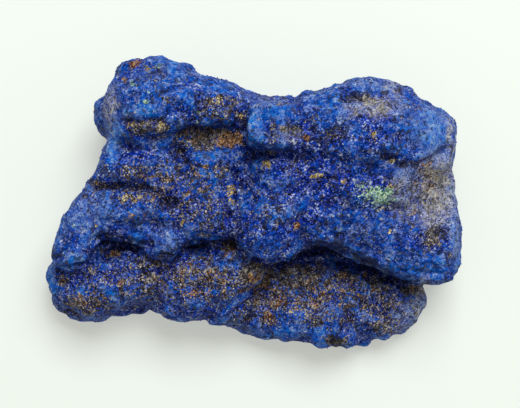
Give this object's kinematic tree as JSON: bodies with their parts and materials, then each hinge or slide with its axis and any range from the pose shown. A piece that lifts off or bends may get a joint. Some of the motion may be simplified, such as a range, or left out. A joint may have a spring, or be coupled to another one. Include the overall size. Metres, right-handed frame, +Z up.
{
  "type": "azurite specimen",
  "caption": "Lumpy palm-sized piece of sandy rock crusted with deep blue azurite, with a long overhanging ledge in front, two high lumps at the back and a flat underside to rest on",
  "frame": {"origin": "middle of the bounding box, on the flat underside", "axes": "+X along the length, towards the end with the tall dome at the back; +Y from the low front shelf to the high back edge; +Z up"},
  "size_m": [0.0774, 0.0534, 0.0292],
  "materials": {
    "azurite_crust": "matt grainy crust of fine azurite crystals and sand"
  },
  "bodies": {
    "root": {"azurite_rock": "azurite_crust"}
  },
  "joints": []
}
